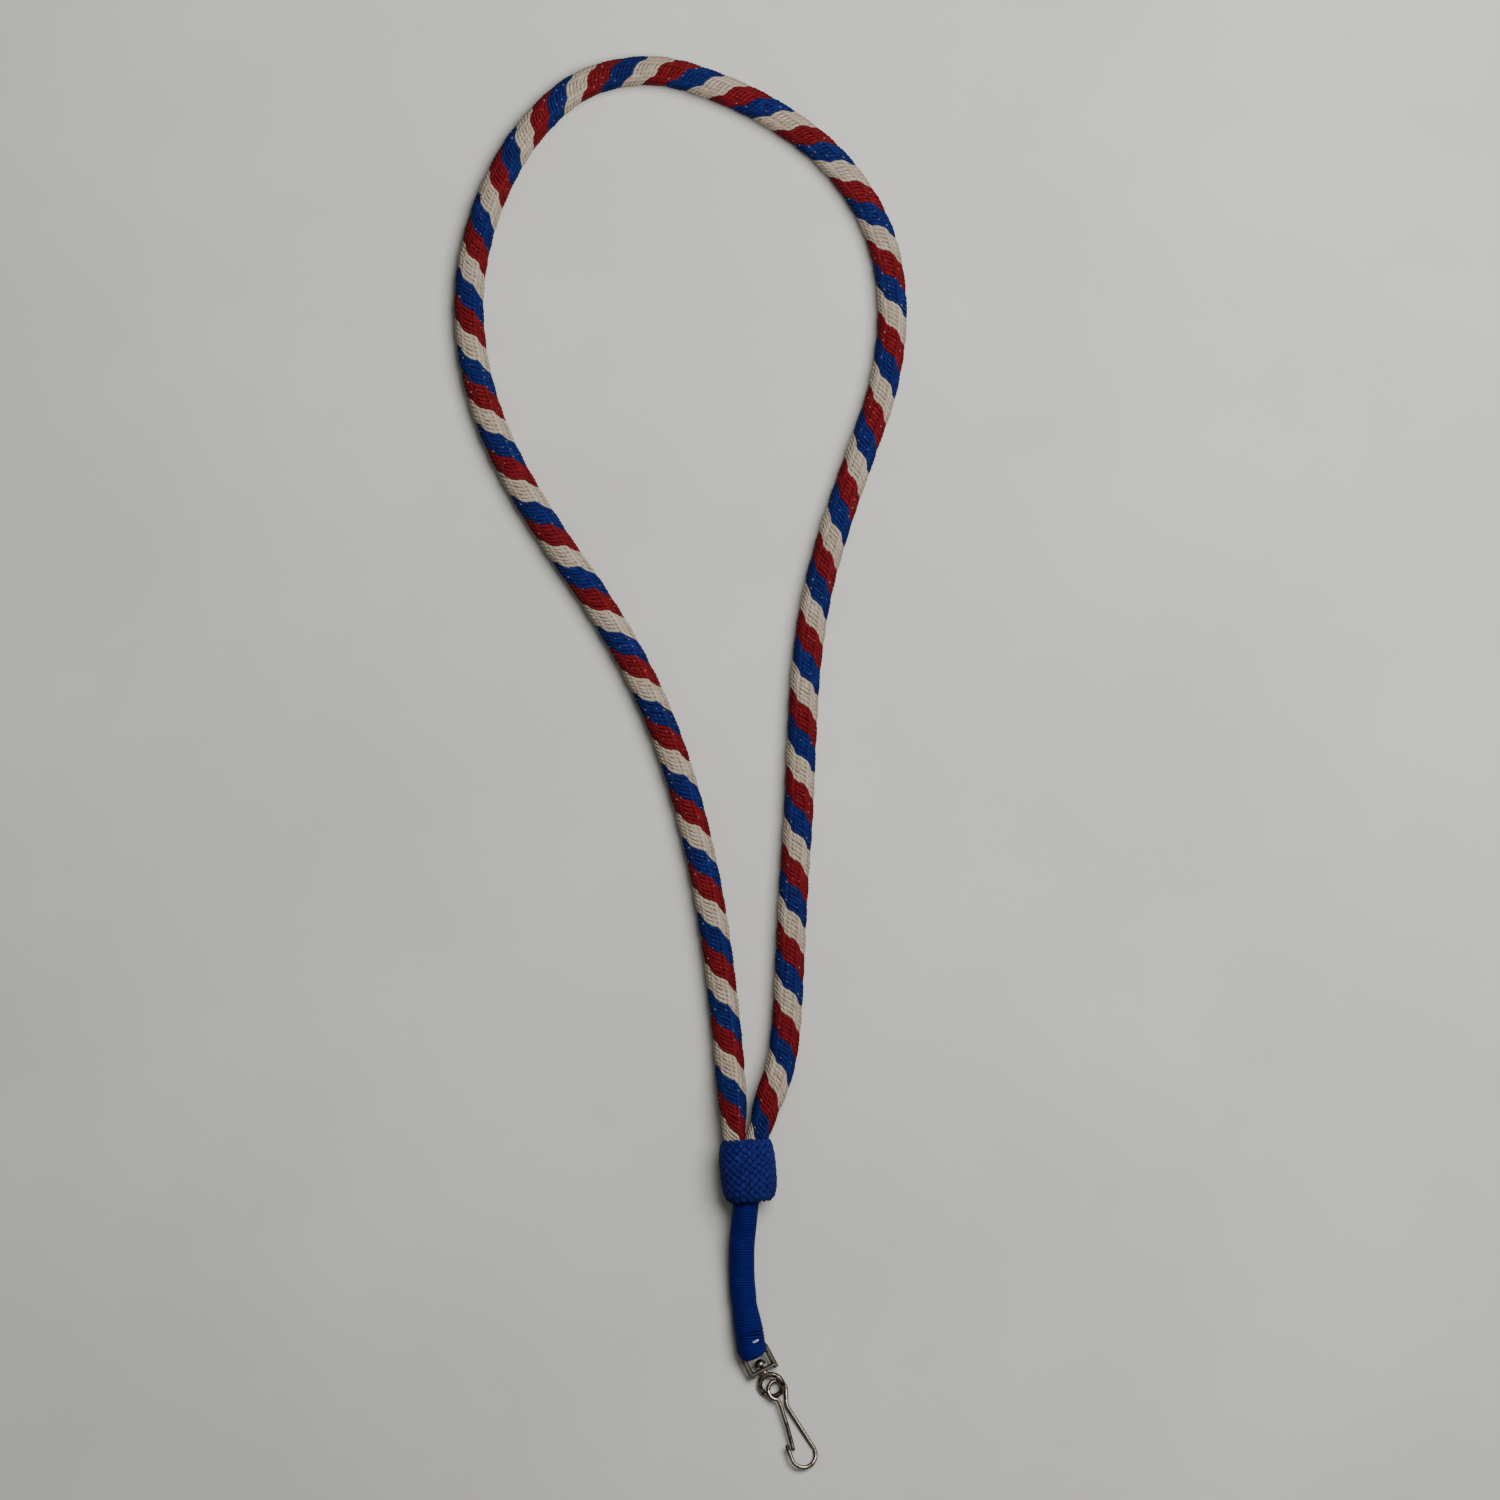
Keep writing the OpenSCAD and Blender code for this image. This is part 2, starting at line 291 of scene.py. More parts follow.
def yarn(name, deep, body, light, plies=3, ply_run=1.6, tone=0.35, groove_painted_shade=0.9, fuzz=0.0, gloss=0.1, rough=0.85):
    """Spun yarn or twine: plies that wind round the strand, with painted shade in the grooves between them, fine
    fibres along them, each strand a little lighter or darker, and painted shade down each strand's flanks, where
    the grooves between strands lie. ply_run is the millimetres of one ply's turn."""
    n = Nodes(name, Sheen_Weight=fuzz, Sheen_Roughness=0.6, Sheen_Tint=body, Specular_IOR_Level=gloss)
    turn, along, own = n.lay()
    winding = n.math("ADD", n.math("MULTIPLY", turn, plies), n.math("DIVIDE", along, ply_run))
    ply = n.math("ABSOLUTE", n.math("SINE", n.math("MULTIPLY", winding, math.pi)))
    fibres = n.noise(1.0, 3.0, 0.6, n.vector(n.math("MULTIPLY", winding, 9.0), n.math("MULTIPLY", along, 1.1),
                                            n.math("MULTIPLY", own, 40.0)))
    patches = n.noise(420.0, 3.0, 0.6, n.place())
    soiled = n.noise(35.0, 3.0, 0.6, n.place())
    # Painted shade: the colour darkens into the grooves between the plies; the fibre noise mixed in is the yarn's
    # own uneven tone.
    ply_shade_and_fibres = n.math("ADD", n.math("MULTIPLY", n.range(ply, 0, 0.9), 0.45), n.math("MULTIPLY", fibres, 0.55))
    colour = n.mix(n.range(ply_shade_and_fibres, 0.15, 0.7), deep, body)
    colour = n.mix(n.math("MULTIPLY", n.range(fibres, 0.55, 0.8), 0.5), colour, light)
    colour = n.mix(n.math("MULTIPLY", own, tone), colour, deep)
    # Painted shade: each strand darkens towards its flanks, where the grooves between strands lie.
    colour = n.mix(n.range(n.flank(turn), 0.5, 1.0, 0.0, groove_painted_shade), colour, deep)
    colour = n.mix(n.math("MULTIPLY", n.range(patches, 0.5, 0.75), 0.25), colour, light)
    colour = n.mix(n.math("MULTIPLY", n.range(soiled, 0.52, 0.75), 0.22), colour, deep)
    height = n.math("ADD", ply, fibres)
    return n.wire(Base_Color=colour, Roughness=n.range(fibres, 0.3, 0.7, rough, rough - 0.12),
                  Normal=n.bump(height, 0.5, 0.00012))


def tarnished(name, bright, dull, brown, tarnish, rusty=None):
    """Old nickel plate: bright along the top and browner down the flanks of the wire, partly from grime and
    partly as painted shade, with brown patches and fine scratches. A strand's tone adds its own tarnish. rusty is
    where a brown stretch starts and ends along the wire, in millimetres."""
    n = Nodes(name, Metallic=1.0)
    place = n.place()
    turn, along, own = n.lay()
    cloud = n.noise(260.0, 4.0, 0.65, place)
    specks = n.noise(1500.0, 3.0, 0.6, place)
    scratch = n.noise(1.0, 3.0, 0.6, n.scaled(place, (5200, 900, 2600)))
    stain = n.range(n.math("ADD", n.math("MULTIPLY", cloud, 0.75), n.math("MULTIPLY", specks, 0.25)),
                    0.62 - 0.25 * tarnish, 0.72 - 0.2 * tarnish)
    # Browner down the wire's flanks: partly grime, partly painted shade.
    flank_grime_and_shade = n.range(n.math("ADD", n.flank(turn), n.math("MULTIPLY", cloud, 0.6)), 0.85, 1.2)
    browned = n.math("MULTIPLY", n.math("MAXIMUM", stain, flank_grime_and_shade), n.range(own, 0, 0.3, 0.55, 1.0))
    browned = n.math("MAXIMUM", browned, n.math("SUBTRACT", own, 0.2))
    if rusty:
        start, end = rusty
        patch = n.math("MULTIPLY", n.range(along, start, start + 2), n.range(along, end - 1, end, 1, 0))
        patch = n.math("MULTIPLY", patch, n.range(cloud, 0.35, 0.55, 0.45, 0.95))
        browned = n.math("MAXIMUM", browned, patch)
    colour = n.mix(n.range(scratch, 0.35, 0.7), bright, dull)
    colour = n.mix(browned, colour, brown)
    rough = n.math("ADD", n.range(browned, 0, 1, 0.22, 0.4), n.range(scratch, 0.3, 0.7, -0.05, 0.08))
    height = n.math("ADD", n.math("MULTIPLY", scratch, 0.4), n.math("MULTIPLY", specks, 0.6))
    return n.wire(Base_Color=colour, Roughness=rough, Normal=n.bump(height, 0.3, 0.00005))


blue_yarn = yarn("blue_yarn", linear(6, 9, 44), linear(17, 32, 96), linear(46, 64, 138))
red_yarn = yarn("red_yarn", linear(54, 6, 10), linear(114, 16, 24), linear(146, 44, 50))
cream_yarn = yarn("cream_yarn", linear(116, 100, 84), linear(176, 163, 146), linear(196, 186, 170),
                  gloss=0.2, fuzz=0.1)
core_yarn = yarn("core_yarn", linear(104, 92, 82), linear(150, 138, 126), linear(170, 160, 150),
                 plies=40, ply_run=40)
knot_cord = yarn("knot_cord", linear(6, 8, 48), linear(20, 29, 108), linear(46, 60, 146),
                 plies=2, ply_run=1.3, rough=0.75)
whip_cord = yarn("whipping_cord", linear(3, 6, 56), linear(6, 16, 96), linear(20, 37, 132),
                 plies=2, ply_run=1.0, rough=0.7, gloss=0.08)
strand_cord = yarn("strand_cord", linear(2, 6, 36), linear(6, 20, 76), linear(20, 44, 110), plies=3, ply_run=2.2)
white_thread = yarn("white_thread", linear(120, 126, 150), linear(168, 174, 196), linear(196, 200, 214),
                    plies=2, ply_run=0.9)
nickel = tarnished("nickel", linear(206, 198, 186), linear(124, 112, 96), linear(46, 32, 23), 0.6)
eye_nickel = tarnished("eye_nickel", linear(200, 188, 170), linear(124, 108, 92), linear(46, 29, 20), 0.7)
spring_wire = tarnished("spring_wire", linear(196, 186, 168), linear(118, 106, 90), linear(46, 32, 24), 0.5,
                        rusty=(-3, 2.6))
gate_wire = tarnished("gate_wire", linear(196, 186, 168), linear(118, 106, 90), linear(50, 30, 22), 0.6,
                      rusty=(17, 26))


# ---------------------------------------------------------------- camera, light and floor

PICTURE_CENTRE = np.array([-5.6, 171.9, 4.7])
PICTURE_SIDE = 465.0
CAMERA_HEIGHT = 2500.0
SENSOR = 36

camera = bpy.data.objects.new("camera", bpy.data.cameras.new("camera"))
camera.location = (PICTURE_CENTRE + CAMERA_HEIGHT * Z) * MM
camera.data.sensor_width = SENSOR
camera.data.lens = SENSOR * CAMERA_HEIGHT / PICTURE_SIDE
camera.data.clip_start, camera.data.clip_end = 0.05, 20
bpy.context.scene.collection.objects.link(camera)
bpy.context.scene.camera = camera

LAMP_AT, LAMP_AIM = Vector((0.36, 0.46, 0.9)), Vector((0.32, 0.6, 0))     # metres
LAMP_SIZE, LAMP_WATTS, LAMP_COLOUR = 0.75, 16.4, (1.0, 0.995, 0.975)
lamp = bpy.data.lights.new("window", "AREA")
lamp.shape, lamp.size, lamp.energy, lamp.color = "DISK", LAMP_SIZE, LAMP_WATTS, LAMP_COLOUR
window = bpy.data.objects.new("window", lamp)
window.location = LAMP_AT
window.rotation_mode = "QUATERNION"
window.rotation_quaternion = (LAMP_AIM - LAMP_AT).to_track_quat("-Z", "Y")
bpy.context.scene.collection.objects.link(window)

# The room around is dim at the height of the floor and lighter overhead.
ROOM_LOW, ROOM_TOP = (0.05, (0.04, 0.04, 0.04, 1)), (0.95, (0.22, 0.223, 0.222, 1))
world = bpy.data.worlds.new("room")
world.use_nodes = True
sky = world.node_tree
split = sky.nodes.new("ShaderNodeSeparateXYZ")
sky.links.new(sky.nodes.new("ShaderNodeTexCoord").outputs["Generated"], split.inputs[0])
ramp = sky.nodes.new("ShaderNodeValToRGB")
sky.links.new(split.outputs["Z"], ramp.inputs[0])
for stop, (height, colour) in zip(ramp.color_ramp.elements, (ROOM_LOW, ROOM_TOP)):
    stop.position, stop.color = height, colour
sky.links.new(ramp.outputs[0], sky.nodes["Background"].inputs["Color"])
bpy.context.scene.world = world

FLOOR_HALF = 4.0     # metres
floor_mesh = bpy.data.meshes.new("floor")
floor_mesh.from_pydata([(x * FLOOR_HALF, y * FLOOR_HALF, 0) for x, y in ((-1, -1), (1, -1), (1, 1), (-1, 1))],
                       [], [(0, 1, 2, 3)])
floor = bpy.data.objects.new("floor", floor_mesh)
bpy.context.scene.collection.objects.link(floor)
paint = Nodes("floor_paint", Roughness=0.7, Specular_IOR_Level=0.3)
cloudy = paint.range(paint.noise(9.0, 4.0, 0.55, paint.place()), 0.35, 0.65)
floor_mesh.materials.append(paint.wire(
    Base_Color=paint.mix(cloudy, linear(190, 189, 184), linear(198, 197, 193))))


# ---------------------------------------------------------------- neck cord

CORD_R, CORD_END_R, TAPER = 4.6, 3.5, 16.0
KNOT_AT, KNOT_LEN = np.array([-6.2, 41.9, 9.0]), 18.8
KNOT_TURN = 5
KNOT_AXIS, KNOT_SIDE = turned("z", KNOT_TURN) @ Y, turned("z", KNOT_TURN) @ X
LEG_OFFSET = 3.55     # from the knot's axis to each leg's
ROUTE_STEPS = 12      # between two points of a route
NECK_ROUTE = [
    [-10.6, 57, 8.6], [-11, 63, 7.5], [-11.6, 70, 6.2], [-12.2, 78, 5.2], [-13.5, 91, 4.7],
    [-15.5, 108, 4.7], [-19, 130, 4.7], [-24.5, 154, 4.7], [-32, 177.5, 4.7], [-41.5, 198.5, 4.7],
    [-53, 218, 4.7], [-66, 237, 4.7], [-78, 256.5, 4.7], [-87, 276.5, 4.7], [-92, 298, 4.7],
    [-92, 320, 4.7], [-86, 342.5, 4.7], [-74.5, 363, 4.7], [-57.5, 378, 4.7], [-36, 382.5, 4.7],
    [-15, 377, 4.7], [5.5, 366.5, 4.7], [22.5, 352, 4.7], [34.5, 332, 4.7], [38.5, 309, 4.7],
    [36, 286, 4.7], [29, 264.5, 4.7], [21.5, 243, 4.7], [15.5, 221.5, 4.7], [12, 199, 4.7],
    [10.5, 176, 4.7], [9.5, 153, 4.7], [8, 130, 4.7], [6.8, 107, 4.7], [6, 91, 4.7],
    [4.6, 78, 5.2], [2.6, 70, 6.2], [0, 63, 7.5], [-1.7, 57, 8.6]]
mouth = KNOT_AT + KNOT_LEN / 2 * KNOT_AXIS
neck = Route(smooth_line([mouth - LEG_OFFSET * KNOT_SIDE, *NECK_ROUTE, mouth + LEG_OFFSET * KNOT_SIDE],
                         ROUTE_STEPS))


def cord_radius(s):
    """Half the cord's thickness: each end draws in where the knot holds it."""
    t = np.clip(np.minimum(s, neck.length - s) / TAPER, 0, 1)
    return CORD_END_R + (CORD_R - CORD_END_R) * t * t * (3 - 2 * t)


# The three colours run round the cord as bands of one spiral. The plait is packed tighter over the loop's top.
BAND_PITCH, BAND_START, TOP_AT, TOP_RUN, TOP_TURNS = 24.1, 0.0824, 345.0, 60.0, 0.1987
run_table = np.linspace(-30, neck.length + 30, 8001)
turn_table = (BAND_START + run_table / BAND_PITCH
              + TOP_TURNS * np.array([math.erf((s - TOP_AT) / TOP_RUN) for s in run_table]))
ROWS, ENDS = 9, 15          # rows of stitches in a turn of the bands, and yarn ends round the cord
LOBES, LOBE_STEEP, LOBE_FLAT = 5, -0.64, 0.17     # the ends lie in groups, which make the bands' edges wavy
YARN_W, YARN_T = 0.61, 0.62     # half the width and thickness of a yarn: a stitch is two side by side
STITCH = 1.2                # how many ends a stitch reaches over
TAPERED = 0.8               # how much of a yarn's section is gone at a stitch's ends
DIVE = 0.9                  # how deep a stitch's ends go
BAND_RELIEF = 0.28          # how far the middle of a band stands out from its edges
BAND_SINK = 0.7             # how much of that relief is taken off the whole band
FOLLOW = 0.45               # how much of the waves a stitch follows along its own length
OVERRUN = 1.5               # how far the plait runs on inside the knot
RINGS = 9                   # sections in a stitch
LOOSE_ANGLE, LOOSE_RUN, LOOSE_HEIGHT, LOOSE_WIDTH = 0.012, 0.05, 0.04, 0.05     # how uneven the stitches are


def wave(angle):
    """How far the groups of ends carry the pattern along the cord, in millimetres, at an angle round it."""
    phase = LOBES * (angle - math.pi / 2)
    return LOBE_STEEP * np.sin(phase) + LOBE_FLAT * np.sin(2 * phase)


first_turn, last_turn = np.interp([-OVERRUN, neck.length + OVERRUN], run_table, turn_table)
every_row = np.arange(math.floor((first_turn - 1) * ROWS), math.ceil((last_turn + 1) * ROWS))
rows, ends, which = (v.ravel() for v in np.meshgrid(every_row, np.arange(ENDS), [-1, 1], indexing="ij"))
end_angle = (ends - 1) / ENDS * 2 * math.pi
place_in_row = 0.5 + which * 0.25       # the two yarns of a stitch
stitch_turn = (rows + place_in_row) / ROWS + ends / ENDS - 0.25 - 1 / ENDS
stitch_run = np.interp(stitch_turn, turn_table, run_table)
keep = (stitch_run > -OVERRUN) & (stitch_run < neck.length + OVERRUN)
rows, which, place_in_row, end_angle, stitch_run, stitch_turn = (
    v[keep] for v in (rows, which, place_in_row, end_angle, stitch_run, stitch_turn))
colour_of = (rows % ROWS) // 3      # 0 red, 1 blue, 2 cream

# A stitch follows the band: it goes round the cord as it goes along it, and dives under at both ends.
t = np.linspace(-1, 1, RINGS)
wobble = rng.normal(0, 1, (4, len(rows)))
squeeze = cord_radius(stitch_run) / CORD_R
reach = STITCH / ENDS * t
angle = (end_angle + wobble[1] * LOOSE_ANGLE)[:, None] + reach * 2 * math.pi
s = np.interp(stitch_turn[:, None] + reach, turn_table, run_table) + (
    FOLLOW * wave(angle) + (1 - FOLLOW) * wave(end_angle)[:, None] + (wobble[0] * LOOSE_RUN)[:, None])
shape = np.sqrt(1 - np.abs(t) ** 3 * TAPERED)
across_band = (rows % 3 + place_in_row) / 3
bulge = BAND_RELIEF * (1 - (1 - 2 * across_band) ** 2)
radius = (cord_radius(s) - YARN_T * squeeze[:, None] - DIVE * np.abs(t) ** 3
          + (bulge - BAND_RELIEF * BAND_SINK + wobble[2] * LOOSE_HEIGHT)[:, None])
centres = neck.around(s, angle, radius)
outward = unit(centres - neck.at(s)[0])
ahead = unit(np.gradient(centres, axis=1))
across = unit(np.cross(ahead, outward))
half_of = (stitch_run > neck.length / 2).astype(int)
colours = (("plait_red", red_yarn), ("plait_blue", blue_yarn), ("plait_cream", cream_yarn))
for index, (name, material) in enumerate(colours):
    for half, leg in enumerate(("left", "right")):
        mine = (colour_of == index) & (half_of == half)
        build = Build()
        section = squeeze[mine][:, None] * shape
        width = YARN_W * section * (1 + LOOSE_WIDTH * wobble[3][mine][:, None])
        build.sweep(centres[mine], across[mine], unit(np.cross(across[mine], ahead[mine])),
                    width, YARN_T * section, sides=7)
        build.make(f"{name}_{leg}", material, "cord", "plait")

# Specks of the white filling show between the ends of the red and the blue stitches.
SPECK_SHARE = 0.3                           # of the gaps between stitches show one
SPECK_W, SPECK_T = 0.13, 0.2                # half its width and thickness
SPECK_ROUND, SPECK_ALONG = 0.2, 0.12        # half its length, round the cord and along it
SPECK_SINK, SPECK_RISE = 0.24, 0.1          # how deep it lies, and how much higher it may be
mine = (which > 0) & (rows % ROWS < 6) & (rng.random(len(rows)) < SPECK_SHARE)
count = mine.sum()
t = np.linspace(-1, 1, 4)
middle = end_angle[mine] + math.pi / ENDS + rng.normal(0, 0.03, count)
angle = middle[:, None] + SPECK_ROUND * t / CORD_R
middle = np.interp(stitch_turn[mine] + 0.75 / ROWS, turn_table, run_table) + rng.normal(0, 0.15, count)
s = middle[:, None] + wave(angle) + SPECK_ALONG * t
centres = neck.around(s, angle, cord_radius(s) - SPECK_SINK + SPECK_RISE * rng.random(count)[:, None])
outward = unit(centres - neck.at(s)[0])
ahead = unit(np.gradient(centres, axis=1))
across = unit(np.cross(ahead, outward))
specks = Build()
specks.sweep(centres, across, outward, SPECK_W * np.sqrt(1 - 0.8 * t**2), SPECK_T, sides=6)
specks.make("plait_specks", cream_yarn, "cord", "filler")

CORE_INSET = 1.15     # from the cord's outside to the filling's
core = Build()
core_run = np.linspace(-2, neck.length + 2, 700)
centre, _, side, up = neck.at(core_run)
core_r = cord_radius(core_run) - CORE_INSET
core.sweep(centre, side, up, core_r, core_r, sides=20)
core = core.make("plait_core", core_yarn, "cord", "filler", ["neck_cord", "neck_core"])


# ---------------------------------------------------------------- woven knot

KNOT_R, MOUTH_R, FOOT_R = 9.0, 7.0, 6.2
LEADS, BIGHTS = 15, 19


def knot_radius(t):
    """Outer radius at a height from -1 at the foot to 1 at the mouth."""
    end = np.where(t > 0, MOUTH_R, FOOT_R)
    return end + (KNOT_R - end) * np.sqrt(np.clip(1 - np.abs(t) ** 3, 0, 1))


def knot_point(t, angle, inset):
    r = knot_radius(t) - inset
    return (KNOT_AT + (t * KNOT_LEN / 2)[..., None] * KNOT_AXIS
            + (r * np.cos(angle))[..., None] * KNOT_SIDE + (r * np.sin(angle))[..., None] * Z)


STRAND_W, STRAND_T = 1.0, 0.44      # half the width and thickness of a strand
STRAND_INSET, WEAVE = 0.98, 0.4     # from the outside to a strand's middle, and how far it goes over and under
WEAVE_FLAT = 1.8                    # above 1, a strand stays over or under for longer and changes faster
STRAND_REACH = 0.965                # how near to the knot's ends the strands turn back
TURN_SOFT, TURN_SCALE = 0.0006, 0.99        # round off the line over which the two ends are measured
steps = 2 * BIGHTS * LEADS * 5
tau = np.arange(steps) / steps * 2 * BIGHTS          # each unit is one pass from foot to mouth or back
fraction = np.abs((tau % 2) - 1)
rising = np.where(tau % 2 < 1, -1.0, 1.0)
edge = np.clip(np.minimum(fraction, 1 - fraction) * LEADS / 0.9, 0, 1)
height = (2 * fraction - 1) * STRAND_REACH
height = np.sign(height) * (1 - np.sqrt((1 - np.abs(height)) ** 2 + TURN_SOFT)) / TURN_SCALE
angle = tau * math.pi * LEADS / BIGHTS
lift = WEAVE * np.tanh(WEAVE_FLAT * np.cos(math.pi * LEADS * fraction)) * rising * edge
centres = knot_point(height, angle, STRAND_INSET - lift)
outward = unit(knot_point(height, angle, 0) - knot_point(height, angle, 1.0))
ahead = unit(np.roll(centres, -1, 0) - np.roll(centres, 1, 0))
across = unit(np.cross(ahead, outward))
knot = Build()
knot.sweep(centres, across, unit(np.cross(across, ahead)), STRAND_W, STRAND_T, sides=8, closed=True)
knot.make("knot_weave", knot_cord, "cord", "knot_cord", ["woven_knot"])

# The seizing under it: turns of cord round a solid barrel.
LINER_TURNS, LINER_INSET, LINER_REACH = 26, 2.0, 0.97
BARREL_INSET, BARREL_REACH = 2.2, 0.96
liner = Build()
a = np.linspace(0, 1, LINER_TURNS * 40)
height = -LINER_REACH + 2 * LINER_REACH * a
angle = a * LINER_TURNS * 2 * math.pi
centres = knot_point(height, angle, LINER_INSET)
outward = unit(knot_point(height, angle, 0) - centres)
ahead = unit(np.gradient(centres, axis=0))
across = unit(np.cross(ahead, outward))
liner.sweep(centres, across, unit(np.cross(across, ahead)), 0.46, 0.4, sides=6)
t = np.linspace(-BARREL_REACH, BARREL_REACH, 25)
liner.lathe(KNOT_AT, KNOT_AXIS, KNOT_SIDE, np.stack([t * KNOT_LEN / 2, knot_radius(t) - BARREL_INSET], -1))
liner.make("knot_seizing", strand_cord, "cord", "thread", ["leg_seizing"])


# ---------------------------------------------------------------- stem, its whipping and the turns round the bar

BAR_AT = np.array([-4.8, -14.1, 4.4])
BAIL_TURN, EYE_REACH, EYE_Z, EYE_ROLL = 27.5, 12.8, 2.1, -15
BAIL_PITCH = math.degrees(math.asin((BAR_AT[2] - EYE_Z) / EYE_REACH))
bail_frame = turned("z", BAIL_TURN) @ turned("x", BAIL_PITCH)
STEM_R, FLARE, FLARE_FROM = 4.05, 0.55, 0.7     # the whipping is thicker over the last part of the stem
SWELL, DENT = (0.12, 30, 2.5), (-0.15, 34, 3.0)     # height, place along the stem and half width
STEM_OFFSET = -1.4      # from the knot's axis
STEM_SHORT = 1.3        # from the stem's end to the bar's middle
STEM_ROUTE = [
    [-7.4, 26, 8.1], [-8.1, 19, 6.5], [-8.2, 12, 5], [-7.9, 5, 4.4],
    [-7.2, -1, 4.3], [-6.3, -6.5, 4.6], [-5.7, -9.5, 4.8]]
stem_end = BAR_AT + STEM_SHORT * (bail_frame @ Y)
knot_foot = KNOT_AT - KNOT_LEN / 2 * KNOT_AXIS
stem = Route(smooth_line([knot_foot + STEM_OFFSET * KNOT_SIDE, *STEM_ROUTE, stem_end], ROUTE_STEPS))
TWINE, TWINE_PITCH, TWINE_FLAT = 0.42, 0.8, 1.12      # half its thickness, its pitch, and width over thickness


def stem_radius(s):
    """Outer radius of the whipping at a distance from the knot."""
    t = s / stem.length
    flare = FLARE * np.clip(np.sin(np.radians((t - FLARE_FROM) * 400)), 0, None) * (t > FLARE_FROM)
    return STEM_R + flare + sum(high * np.exp(-((s - at) / wide) ** 2) for high, at, wide in (SWELL, DENT))


def wound(build, line, start, end, radius_of, pitch=TWINE_PITCH, squash_of=None):
    """Twine wound round a line, one turn beside the next, also where the radius closes in."""
    fine = np.linspace(start, end, 2000)
    slope = np.hypot(np.gradient(fine), np.gradient(radius_of(fine)))
    reach = np.concatenate([[0], np.cumsum((slope[1:] + slope[:-1]) / 2)])
    wound_to = np.linspace(0, reach[-1], int(reach[-1] / pitch * 40))
    run = np.interp(wound_to, reach, fine)
    angle = wound_to / pitch * 2 * math.pi
    centre, _, side, up = line.at(run)
    r = radius_of(run) - TWINE
    squash = squash_of(run) if squash_of else np.ones(len(run))
    centres = centre + (r * np.cos(angle))[:, None] * side + (r * squash * np.sin(angle))[:, None] * up
    outward = unit((np.cos(angle) * squash)[:, None] * side + np.sin(angle)[:, None] * up)
    ahead = unit(np.gradient(centres, axis=0))
    across = unit(np.cross(ahead, outward))
    build.sweep(centres, across, unit(np.cross(across, ahead)), TWINE * TWINE_FLAT, TWINE, sides=8)


whipping = Build()
wound(whipping, stem, -0.4, stem.length + 0.1, stem_radius)
whipping.make("stem_whipping_turns", whip_cord, "cord", "whipping_cord", ["stem_whipping"])

STRANDS, STRAND_R, STRANDS_OUT, STRANDS_TWIST = 6, 1.25, 2.35, 0.05      # round a seventh, in the middle
strands = Build()
run = np.linspace(-2, stem.length - 0.2, 60)
centre, _, side, up = stem.at(run)
for k in range(STRANDS + 1):
    ring = 0 if k == STRANDS else STRANDS_OUT
    turn = run * STRANDS_TWIST + k * math.pi / 3
    line = centre + ring * (np.cos(turn)[:, None] * side + np.sin(turn)[:, None] * up)
    strands.sweep(line, side, up, STRAND_R, STRAND_R, sides=10)
strands.make("stem_strand_bundle", strand_cord, "cord", "strand_cord", ["stem_strands"])

# The strands go round the bar under more turns.
HOOD_FROM, HOOD_TO, HOOD_PITCH = 3.0, 2.25, 0.62    # before the bar, past it, and the pitch of its turns
HOOD_W, HOOD_FLAT, HOOD_BLUNT = 4.66, 0.86, 2.7     # half its width, height over width, how square its end is
HOOD_TUCK, HOOD_TIP = 0.4, 0.75                     # narrower by this at its start, and the last turn's radius
axis_line = Route([BAR_AT + d * (bail_frame @ Y) for d in (HOOD_FROM, STEM_SHORT, 0.0, -1.5, -3.2)],
                  up=bail_frame @ Z)


def hood_radius(s):
    d = np.clip((s - HOOD_FROM) / HOOD_TO, 0, 0.995)
    widest = HOOD_W - HOOD_TUCK * np.clip((1.4 - s) / 1.2, 0, 1)
    return np.maximum(widest * (1 - d**HOOD_BLUNT) ** (1 / HOOD_BLUNT), HOOD_TIP)


def hood_squash(s):
    return 1 + (HOOD_FLAT - 1) * np.clip((s - 1.2) / 2.5, 0, 1)


hood = Build()
wound(hood, axis_line, 0.2, HOOD_FROM + HOOD_TO, hood_radius, HOOD_PITCH, hood_squash)
hood = hood.make("bar_turns", whip_cord, None, "whipping_cord")
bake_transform(hood)

STITCH_AT, STITCH_TURN, STITCH_HALF = np.array([-4.05, -11.2, 8.9]), 27, 1.25
STITCH_RISE, STITCH_SINK = 0.25, 0.3
stitch = Build()
u = np.linspace(-1, 1, 13)
rise = (1 - u**2) * STITCH_RISE - STITCH_SINK
points = STITCH_AT + u[:, None] * STITCH_HALF * (turned("z", STITCH_TURN) @ X) + rise[:, None] * Z
heads = unit(np.gradient(points, axis=0))
stitch.sweep(points, unit(np.cross(heads, Z)), np.broadcast_to(Z, heads.shape),
             0.44 * np.sqrt(1 - 0.8 * u**6), 0.4, sides=10)
stitch.make("tail_stitch_thread", white_thread, "cord", "white_thread", ["tail_stitch"])


# ---------------------------------------------------------------- bail and swivel eye

def in_bail(points):
    """From the bail's own frame, with its bar along X and its foot towards -Y, to the model's."""
    return BAR_AT + np.asarray(points, float) @ bail_frame.T


